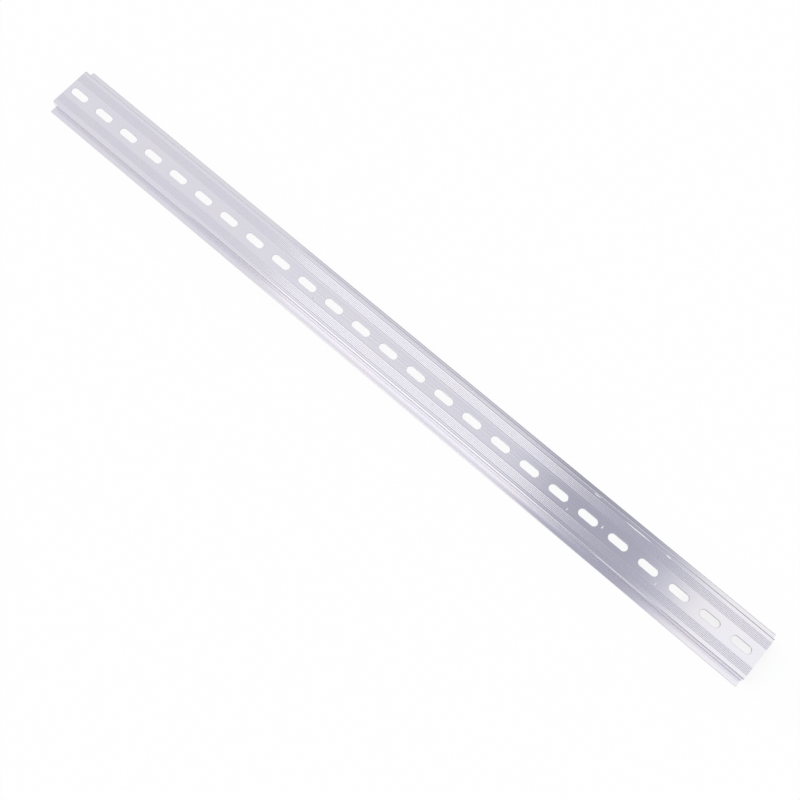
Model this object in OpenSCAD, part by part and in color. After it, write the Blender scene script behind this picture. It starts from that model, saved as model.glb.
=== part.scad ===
// Slotted top-hat DIN rail, TH35-7.5 section, extruded in one piece and cut to length.
// X runs along the rail, Y across it and Z up. The origin is at the middle of the length,
// on the centre line, at the level of the flange undersides.

/* [Rail] */
// Length of the rail
rail_l = 500; // [100:1:1000]
// Overall width across the two clip flanges
rail_w = 35; // [32:0.5:40]
// Outer width of the raised crown
crown_w = 27; // [24:0.5:28]
// Overall height
rail_h = 7.5; // [5:0.5:15]
// Wall thickness
wall_t = 1; // [0.8:0.1:1.5]

/* [Corner radii] */
// Radius of the outer corners along the crown and of the channel's mouth
corner_r = 1; // [0.5:0.1:1.2]
// Radius of the fillets inside the crown and at the foot of each side wall
fillet_r = 0.4; // [0.2:0.1:0.8]
// Radius of the long edges of the flanges
lip_r = 0.4; // [0.1:0.05:0.45]

/* [Grip lines] */
// Grooves on each side of the crown's smooth middle band
groove_count = 6; // [1:1:7]
// Spacing of the grooves
groove_pitch = 0.83; // [0.8:0.01:0.9]
// Depth of a groove
groove_depth = 0.15; // [0.05:0.01:0.2]
// Radius of a groove's round bottom
groove_r = 0.5; // [0.3:0.01:0.5]
// Distance from the centre line to the innermost groove
groove_start = 6.4; // [5:0.01:6.5]

/* [Slots] */
// Overall length of a slot
slot_l = 12.2; // [6:0.1:14]
// Width of a slot
slot_w = 4.5; // [3.5:0.1:5.5]
// Width of the rolled-over edge that the punch leaves round a slot's mouth
slot_edge = 0.15; // [0.05:0.05:0.3]
// Spacing of the slots along the rail
slot_pitch = 20; // [18:0.5:40]
// Distance from the rail's -X end to the first slot's centre
first_slot = 8.6; // [8:0.1:20]
// Distance that the slot row lies off the centre line, towards -Y
slot_row_off = 0.3; // [0:0.1:1]
// Least metal left between the last slot and the +X end
end_land = 2; // [1:0.5:5]

/* [Hidden] */

// Facets on a full circle
$fn = 48;
// Distance that a cutting shape runs past the metal
over = 1;

// Half widths of the section
half_w = rail_w / 2;
half_crown = crown_w / 2;
half_channel = half_crown - wall_t;
// Radius that the flange edges get, kept under half of a thin wall
tip_r = min(lip_r, 0.45 * wall_t);

// Slots that fit in the length, and the place of the first one
slot_count = floor((rail_l - first_slot - slot_l / 2 - end_land) / slot_pitch) + 1;
first_slot_x = first_slot - rail_l / 2;

// The metal left in a square corner outside a round of radius r, in the +X +Y quadrant
module corner(r) {
    difference() {
        square(r);
        translate([r, r]) circle(r);
    }
}

// Copies the shape of the +Y side of the section onto the other side
module both_sides() {
    children();
    mirror([1, 0]) children();
}

// Round-bottomed grooves side by side in the crown's top face, on one side of the middle
module grip_grooves() {
    for (i = [0 : groove_count - 1])
        translate([groove_start + i * groove_pitch, rail_h + groove_r - groove_depth])
            circle(groove_r);
}

// Metal of the section with square outer corners
module plain_section() {
    difference() {
        union() {
            translate([-half_crown, 0]) square([crown_w, rail_h]);
            translate([-half_w, 0]) square([rail_w, wall_t]);
        }
        translate([-half_channel, -over]) square([2 * half_channel, rail_h - wall_t + over]);
    }
}

// Top-hat section across the rail, with Y to the right and Z up the page
module section() {
    difference() {
        union() {
            plain_section();
            both_sides() translate([half_channel, rail_h - wall_t]) rotate(180) corner(fillet_r);
            both_sides() translate([half_crown, wall_t]) corner(fillet_r);
        }
        both_sides() translate([half_crown, rail_h]) rotate(180) corner(corner_r);
        both_sides() translate([half_channel, 0]) corner(corner_r);
        both_sides() translate([half_w, wall_t]) rotate(180) corner(tip_r);
        both_sides() translate([half_w, 0]) rotate(90) corner(tip_r);
        both_sides() grip_grooves();
    }
}

// One round-ended slot through the crown, centred on the origin
module slot() {
    slot_h = wall_t + 2 * over;
    end_x = (slot_l - slot_w) / 2;
    translate([0, 0, rail_h - wall_t - over]) {
        translate([-end_x, -slot_w / 2, 0]) cube([2 * end_x, slot_w, slot_h]);
        for (side = [-1, 1])
            translate([side * end_x, 0, 0]) cylinder(h = slot_h, d = slot_w);
    }
    translate([0, 0, rail_h - slot_edge]) slot_mouth(end_x);
}

// The flare round a slot's mouth, from the slot's own width at the foot outwards at 45 degrees
module slot_mouth(end_x) {
    flare_h = slot_edge + over;
    foot = slot_w / 2;
    top = foot + flare_h;
    translate([-end_x, 0, 0]) rotate([90, 0, 90]) linear_extrude(2 * end_x)
        polygon([[-foot, 0], [foot, 0], [top, flare_h], [-top, flare_h]]);
    for (side = [-1, 1])
        translate([side * end_x, 0, 0]) cylinder(h = flare_h, r1 = foot, r2 = top);
}

// The whole rail: the extruded section with its row of slots
module rail() {
    color("silver")
        difference() {
            rotate([90, 0, 90]) linear_extrude(rail_l, center = true) section();
            for (i = [0 : slot_count - 1])
                translate([first_slot_x + i * slot_pitch, -slot_row_off, 0]) slot();
        }
}

rail();
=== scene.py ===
"""Slotted DIN rail: its finish, and the floor, light and camera round it. Lengths are in metres."""
import math

import bpy
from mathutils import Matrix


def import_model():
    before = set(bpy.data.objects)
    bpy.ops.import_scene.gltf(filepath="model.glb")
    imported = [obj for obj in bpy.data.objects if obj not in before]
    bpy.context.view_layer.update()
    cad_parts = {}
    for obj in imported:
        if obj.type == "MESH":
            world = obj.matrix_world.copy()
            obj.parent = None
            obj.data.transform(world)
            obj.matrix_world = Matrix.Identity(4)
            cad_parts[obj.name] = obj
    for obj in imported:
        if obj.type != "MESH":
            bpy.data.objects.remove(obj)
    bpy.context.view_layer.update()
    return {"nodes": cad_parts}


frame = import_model()

WHITE = (1.0, 1.0, 1.0, 1.0)

# Camera: its place, its turn in degrees, its lens and sensor width in millimetres, and how far it sees
CAMERA_AT = (0.15482, -0.18197, 0.65779)
CAMERA_TURN = (18.0245, -0.7817, 41.2711)
CAMERA_LENS = 57.03
SENSOR = 36.0
SIGHT = 50.0

# Studio. It has five zones across the rail: low in front, front, top, back and the rim low at the
# back. These are the leans over which each gives way to the next, in degrees from straight up and
# positive to the back.
LEANS = ((-62.0, -38.0), (3.0, 28.0), (26.0, 44.0), (66.0, 86.0))
# Brightness of the five zones at the start, at -X
ROOM_START = (0.70, 0.84, 0.81, 0.66, 0.40)
# What they change to along X: from and to which X of a direction, how much later that comes at the
# front, and the brightness of the five zones. The third and fourth are the dark gap.
ROOM = (
    (-0.340, -0.310, 0.000, (0.92, 1.25, 0.40, 0.94, 0.50)),
    (-0.280, -0.060, 0.000, (0.92, 1.25, 0.28, 0.97, 0.50)),
    (-0.108, -0.036, 0.025, (0.48, 0.64, 0.28, 0.62, 0.35)),
    (-0.045, 0.010, 0.000, (0.48, 0.50, 0.43, 0.50, 0.35)),
    (0.022, 0.095, 0.000, (0.55, 1.06, 0.97, 0.25, 0.80)),
)
# The leans over which such a delay dies away, going up from the front
DELAY_LEANS = (-30.0, 0.0)
# Both ends of the studio are plain: where they start in X, and how their brightness rises with height
END_PLUS = (0.2, 0.4)
END_MINUS = (-0.7, -0.55)
END_HEIGHTS = (0.0, 0.8)
END_LEVELS = (0.42, 0.92)
# The -X end is dark low down, where the ends of the slots pick it up
CORNER_X = (-0.75, -0.6)
CORNER_HEIGHTS = (0.12, 0.2)
CORNER_LEVEL = 0.2
# Tint of dim light, and the brightness over which it clears to white
DIM = (0.950, 0.960, 1.130, 1.0)
CLEARING = (0.4, 1.0)

# Floor: its size, the share of its white that no shadow dims, and that share under the rail's +X end
FLOOR_SIZE = 8.0
FLOOR_GLOW = 0.92
FLOOR_GLOW_END = 0.80
GLOW_END_X = (0.195, 0.215)
GLOW_END_SIDE = (0.0100, 0.0175)
# Strip of the floor that is dark in the metal alone, as a rail beside this one would be: its
# brightness, where it starts in X, the gap in it, and its two edges in Y
STRIP = 0.25
STRIP_X = (-0.150, -0.142)
STRIP_GAP = ((0.150, 0.156), (0.185, 0.205))
STRIP_Y = ((-0.070, -0.050), (-0.0215, -0.0205))
# Painted shade: the floor under the crown towards +X, dimmed in the metal alone
UNDER_SHADE = 0.50
UNDER_X = (0.120, 0.200)
UNDER_SIDE = (0.0110, 0.0135)

# Aluminium: two shades that mottle it, and those of the far flange, the stains and the nicks
METAL_WARM = (0.864, 0.838, 0.878, 1.0)
METAL_COOL = (0.847, 0.837, 0.893, 1.0)
METAL_FAR = (0.858, 0.840, 0.868, 1.0)
METAL_STAINED = (0.74, 0.73, 0.77, 1.0)
METAL_SCRAPED = (0.95, 0.95, 0.96, 1.0)
# How rough it is, how much the die's lines change that, how rough its walls, cuts and nicks are, and
# how metallic a nick looks
ROUGH = 0.12
ROUGH_CHANGE = 0.012
ROUGH_WALL = 0.20
ROUGH_CUT = 0.34
ROUGH_NICK = 0.6
METALLIC_NICK = 0.1
# How strong the grain is, and the quarter turn between it and the tangent
GRAIN = 0.85
GRAIN_TURN = 0.25
# A face is endwise by how much of its normal lies along X, and flat rather than upright by how much
# lies along Z. An upright face this close to the centre line belongs to a slot.
ENDWISE = (0.5, 0.9)
FLAT = (0.75, 0.95)
SLOT_SIDE = (0.0035, 0.0040)
# Cells of the noise to a metre in X, Y and Z, and the values between which most of the noise lies
LINE_CELLS = (2.0, 1100.0, 1100.0)
WAVE_CELLS = (1.0, 170.0, 170.0)
MOTTLE_CELLS = (35.0, 90.0, 90.0)
NOISE_SPAN = (0.3, 0.7)

# Relief that the die leaves: the fine lines, fainter on the walls, and the broad waves
LINE_DEPTH = 6e-6
LINE_DEPTH_WALL = 1.8e-6
WAVE_DEPTH = 2.2e-5
# Far flange: where its different tint comes in, and where its slope to the edge starts
FLANGE_SHADE = (0.0138, 0.0148)
FLANGE_START = 0.0135
FLANGE_SLOPE = 0.02
# Steps on either side of the crown: from and to, out from the centre line, and the rise between them
STEPS = (
    (0.00515, 0.00575, 1.1e-5),
    (0.00585, 0.00625, -1.8e-5),
    (0.01075, 0.01115, 1.7e-5),
    (0.01120, 0.01185, -1.0e-5),
    (0.01185, 0.01240, 1.3e-5),
)
# The same, on the far side alone
FAR_STEPS = ((0.01220, 0.01310, 1.5e-5),)
# Steps along the far flange, measured the same way
FLANGE_STEPS = (
    (0.01555, 0.01605, -0.6e-5),
    (0.01615, 0.01665, 1.3e-5),
    (0.01665, 0.01710, -0.9e-5),
)
# Scored lines along the crown: the place across it, the half width and the depth
SCORES = (
    (0.0005, 0.0004, 6e-6),
    (-0.0012, 0.0004, 6e-6),
    (0.0021, 0.0004, 3e-6),
)
# Heights between which a face comes to belong to the crown, and gets its steps and scores
CROWN_HEIGHTS = (0.00719, 0.00720)
# How far the relief is sampled to either side, in pixels
RELIEF_FILTER = 0.1

# Nicks and scuffs: the middle in X and Y, and half the size in X and Y
NICKS = (
    (0.1475, 0.0005, 0.0004, 0.0010),
    (0.1275, -0.0043, 0.0003, 0.0010),
    (0.1867, -0.0046, 0.0002, 0.0012),
    (0.1350, 0.0123, 0.0024, 0.0003),
    (0.1635, 0.0111, 0.0100, 0.0003),
    (0.1832, 0.0111, 0.0018, 0.0004),
)
# Stains, in the same four numbers
STAINS = (
    (0.0370, -0.0075, 0.0007, 0.0006),
    (-0.0533, -0.0044, 0.0008, 0.0006),
)
# Their soft edge, as a share of the squared distance from the middle to the rim
SPOT_EDGE = (0.3, 1.0)

# A Mix node's sockets for each kind of value: its two inputs, and its output
MIX_SOCKETS = {"FLOAT": (2, 3, 0), "VECTOR": (4, 5, 1), "RGBA": (6, 7, 2)}


class Graph:
    """Node tree of a new material or world. Methods that work out a value return its output."""

    def __init__(self, owner):
        owner.use_nodes = True
        self.tree = owner.node_tree
        self.tree.nodes.clear()

    def node(self, kind, **settings):
        """A new node with the given settings."""
        made = self.tree.nodes.new(kind)
        for name, value in settings.items():
            setattr(made, name, value)
        return made

    def put(self, socket, value):
        """Links an output to a socket, or sets the socket's own value."""
        if isinstance(value, bpy.types.NodeSocket):
            self.tree.links.new(value, socket)
        else:
            socket.default_value = value

    def filled(self, kind, values):
        """A new node's first output, with values for its inputs by name."""
        made = self.node(kind)
        for name, value in values.items():
            self.put(made.inputs[name], value)
        return made.outputs[0]

    def surface(self, kind, shader):
        """Ends the tree with a shader for its surface."""
        self.put(self.node(kind).inputs["Surface"], shader)

    def split(self, vector):
        """The three parts of a vector."""
        made = self.node("ShaderNodeSeparateXYZ")
        self.put(made.inputs[0], vector)
        return made.outputs

    def math(self, operation, *values):
        """Result of one of Blender's operations on the values."""
        made = self.node("ShaderNodeMath", operation=operation)
        for socket, value in zip(made.inputs, values):
            self.put(socket, value)
        return made.outputs[0]

    def total(self, first, *others):
        """Sum of the values."""
        for other in others:
            first = self.math("ADD", first, other)
        return first

    def product(self, first, *others):
        """Product of the values."""
        for other in others:
            first = self.math("MULTIPLY", first, other)
        return first

    def largest(self, first, *others):
        """Largest of the values."""
        for other in others:
            first = self.math("MAXIMUM", first, other)
        return first

    def ramp(self, value, low, high, to_low=0.0, to_high=1.0):
        """Maps value smoothly from low..high to to_low..to_high."""
        made = self.node("ShaderNodeMapRange", interpolation_type="SMOOTHSTEP")
        for socket, item in zip(made.inputs, (value, low, high, to_low, to_high)):
            self.put(socket, item)
        return made.outputs[0]

    def fade(self, value, low, high):
        """1 below low, 0 above high."""
        return self.ramp(value, low, high, 1.0, 0.0)

    def band(self, value, first, last):
        """1 between two edges, each given as a low and a high end."""
        return self.product(self.ramp(value, *first), self.fade(value, *last))

    def stairs(self, value, steps):
        """Height reached at value over steps of a start, an end and a rise."""
        return self.total(*[self.ramp(value, low, high, 0.0, rise) for low, high, rise in steps])

    def mix(self, low, high, share, kind="FLOAT"):
        """low where share is 0, high where it is 1."""
        made = self.node("ShaderNodeMix", data_type=kind)
        at_low, at_high, result = MIX_SOCKETS[kind]
        self.put(made.inputs[0], share)
        self.put(made.inputs[at_low], low)
        self.put(made.inputs[at_high], high)
        return made.outputs[result]

    def shade(self, low, high, share):
        """The shader low where share is 0, high where it is 1."""
        made = self.node("ShaderNodeMixShader")
        for socket, item in zip(made.inputs, (share, low, high)):
            self.put(socket, item)
        return made.outputs[0]

    def noise(self, vector, cells, detail=2.0, roughness=0.5):
        """Noise from 0 to 1, with its number of cells to a metre in X, Y and Z."""
        scaled = self.filled("ShaderNodeMapping", {"Vector": vector, "Scale": cells})
        return self.filled("ShaderNodeTexNoise", {
            "Vector": scaled,
            "Scale": 1.0,
            "Detail": detail,
            "Roughness": roughness,
        })

    def spots(self, x, y, places):
        """1 in the middle of each place, 0 outside them all."""
        inside = []
        for at_x, at_y, half_x, half_y in places:
            along = self.math("DIVIDE", self.math("SUBTRACT", x, at_x), half_x)
            across = self.math("DIVIDE", self.math("SUBTRACT", y, at_y), half_y)
            reach = self.total(self.product(along, along), self.product(across, across))
            inside.append(self.fade(reach, *SPOT_EDGE))
        return self.largest(*inside)


def camera():
    """The camera that the picture is taken with."""
    lens = bpy.data.cameras.new("camera")
    lens.lens = CAMERA_LENS
    lens.sensor_width = SENSOR
    lens.clip_end = SIGHT
    holder = bpy.data.objects.new("camera", lens)
    holder.location = CAMERA_AT
    holder.rotation_euler = [math.radians(turn) for turn in CAMERA_TURN]
    bpy.context.scene.collection.objects.link(holder)
    bpy.context.scene.camera = holder


def world():
    """A soft studio with a bright front light, and a dark gap in it that crosses the rail."""
    made = bpy.data.worlds.new("studio")
    bpy.context.scene.world = made
    graph = Graph(made)
    along, across, up = graph.split(graph.node("ShaderNodeTexCoord").outputs["Generated"])
    lean = graph.product(graph.math("ARCTAN2", across, up), math.degrees(1.0))
    turns = [graph.ramp(lean, *span) for span in LEANS]

    def zones(level, *others):
        for other, turn in zip(others, turns):
            level = graph.mix(level, other, turn)
        return level

    level = zones(*ROOM_START)
    for start, end, delay, levels in ROOM:
        delayed = graph.math("SUBTRACT", along, graph.ramp(lean, *DELAY_LEANS, delay, 0.0))
        level = graph.mix(level, zones(*levels), graph.ramp(delayed, start, end))
    ends = graph.largest(graph.ramp(along, *END_PLUS), graph.fade(along, *END_MINUS))
    level = graph.mix(level, graph.ramp(up, *END_HEIGHTS, *END_LEVELS), ends)
    corner = graph.product(graph.fade(along, *CORNER_X), graph.fade(up, *CORNER_HEIGHTS))
    level = graph.mix(level, CORNER_LEVEL, corner)

    tint = graph.mix(DIM, WHITE, graph.ramp(level, *CLEARING), "RGBA")
    studio = graph.filled("ShaderNodeBackground", {"Color": tint, "Strength": level})
    plain = graph.filled("ShaderNodeBackground", {"Color": WHITE, "Strength": 1.0})
    rays = graph.node("ShaderNodeLightPath").outputs
    seen = graph.largest(rays["Is Camera Ray"], rays["Is Diffuse Ray"])
    graph.surface("ShaderNodeOutputWorld", graph.shade(studio, plain, seen))


def floor():
    """A white floor that keeps a faint shadow of the rail, with two parts that are dark in the metal: a
    strip, and painted shade under the crown.
    """
    bpy.ops.mesh.primitive_plane_add(size=FLOOR_SIZE, location=(0, 0, 0))
    plane = bpy.context.object
    plane.name = "floor"
    made = bpy.data.materials.new("floor")
    graph = Graph(made)
    x, y, _ = graph.split(graph.node("ShaderNodeTexCoord").outputs["Object"])
    side = graph.math("ABSOLUTE", y)
    rays = graph.node("ShaderNodeLightPath").outputs
    glossy = rays["Is Glossy Ray"]

    unbroken = graph.math("SUBTRACT", 1.0, graph.band(x, *STRIP_GAP))
    strip = graph.product(graph.ramp(x, *STRIP_X), unbroken, graph.band(y, *STRIP_Y), glossy)
    # painted shade under the crown, seen only in the metal
    under = graph.product(graph.fade(side, *UNDER_SIDE), graph.ramp(x, *UNDER_X), glossy)
    level = graph.mix(graph.mix(1.0, STRIP, strip), UNDER_SHADE, under)
    glow = graph.filled("ShaderNodeEmission", {"Color": WHITE, "Strength": level})
    paint = graph.filled("ShaderNodeBsdfDiffuse", {"Color": WHITE})

    seen = graph.largest(rays["Is Camera Ray"], glossy, rays["Is Transmission Ray"])
    ended = graph.product(graph.fade(side, *GLOW_END_SIDE), graph.ramp(x, *GLOW_END_X))
    share = graph.product(seen, graph.mix(FLOOR_GLOW, FLOOR_GLOW_END, ended))
    graph.surface("ShaderNodeOutputMaterial", graph.shade(paint, glow, share))
    plane.data.materials.append(made)


def relief(graph, place, lines, on_wall):
    """Normal of the rail's surface with its steps, scores, die lines and waves, and the flange's slope."""
    _, y, z = graph.split(place)
    scores = [
        graph.ramp(graph.math("ABSOLUTE", graph.math("SUBTRACT", y, at)), 0.0, half, -depth, 0.0)
        for at, half, depth in SCORES
    ]
    steps = graph.total(graph.stairs(graph.math("ABSOLUTE", y), STEPS), graph.stairs(y, FAR_STEPS))
    crown = graph.product(graph.total(steps, *scores), graph.ramp(z, *CROWN_HEIGHTS))
    slope = graph.product(graph.largest(y, FLANGE_START), -FLANGE_SLOPE)
    flange = graph.stairs(y, FLANGE_STEPS)
    fine = graph.product(graph.mix(LINE_DEPTH, LINE_DEPTH_WALL, on_wall), lines)
    broad = graph.product(graph.noise(place, WAVE_CELLS), WAVE_DEPTH)
    return graph.filled("ShaderNodeBump", {
        "Height": graph.total(crown, slope, flange, fine, broad),
        "Distance": 1.0,
        "Filter Width": RELIEF_FILTER,
    })


def aluminium():
    """Mill-finish extruded aluminium, grained along X, with sawn ends and punched slots."""
    made = bpy.data.materials.new("extruded_aluminium")
    graph = Graph(made)
    place = graph.node("ShaderNodeTexCoord").outputs["Object"]
    x, y, _ = graph.split(place)
    facing_x, _, facing_z = graph.split(graph.node("ShaderNodeNewGeometry").outputs["True Normal"])
    endwise = graph.ramp(graph.math("ABSOLUTE", facing_x), *ENDWISE)
    upright = graph.fade(graph.math("ABSOLUTE", facing_z), *FLAT)
    punched = graph.product(upright, graph.fade(graph.math("ABSOLUTE", y), *SLOT_SIDE))
    on_wall = graph.math("SUBTRACT", upright, punched)
    nicked = graph.spots(x, y, NICKS)
    stained = graph.spots(x, y, STAINS)
    lines = graph.noise(place, LINE_CELLS, detail=3.0, roughness=0.6)

    mottle = graph.ramp(graph.noise(place, MOTTLE_CELLS, detail=3.0), *NOISE_SPAN)
    colour = graph.mix(METAL_WARM, METAL_COOL, mottle, "RGBA")
    colour = graph.mix(colour, METAL_FAR, graph.ramp(y, *FLANGE_SHADE), "RGBA")
    colour = graph.mix(colour, METAL_STAINED, stained, "RGBA")
    colour = graph.mix(colour, METAL_SCRAPED, nicked, "RGBA")
    rough = graph.ramp(lines, *NOISE_SPAN, ROUGH - ROUGH_CHANGE, ROUGH + ROUGH_CHANGE)
    rough = graph.mix(rough, ROUGH_WALL, on_wall)
    rough = graph.mix(rough, ROUGH_CUT, graph.largest(endwise, punched))
    rough = graph.mix(rough, ROUGH_NICK, nicked)
    shader = graph.filled("ShaderNodeBsdfPrincipled", {
        "Base Color": colour,
        "Metallic": graph.ramp(nicked, 0.0, 1.0, 1.0, METALLIC_NICK),
        "Roughness": rough,
        "Anisotropic": GRAIN,
        "Anisotropic Rotation": GRAIN_TURN,
        # the grain runs along X on every face but those that face along it
        "Tangent": graph.mix((1.0, 0.0, 0.0), (0.0, 1.0, 0.0), endwise, "VECTOR"),
        "Normal": relief(graph, place, lines, on_wall),
    })
    graph.surface("ShaderNodeOutputMaterial", shader)
    return made


def dress(node, material):
    """Gives every material slot of a CAD node the material."""
    mesh = frame["nodes"][node].data
    for slot in range(len(mesh.materials)):
        mesh.materials[slot] = material
    if not mesh.materials:
        mesh.materials.append(material)


camera()
world()
floor()
dress("rail", aluminium())

bpy.context.scene.view_settings.view_transform = "Standard"
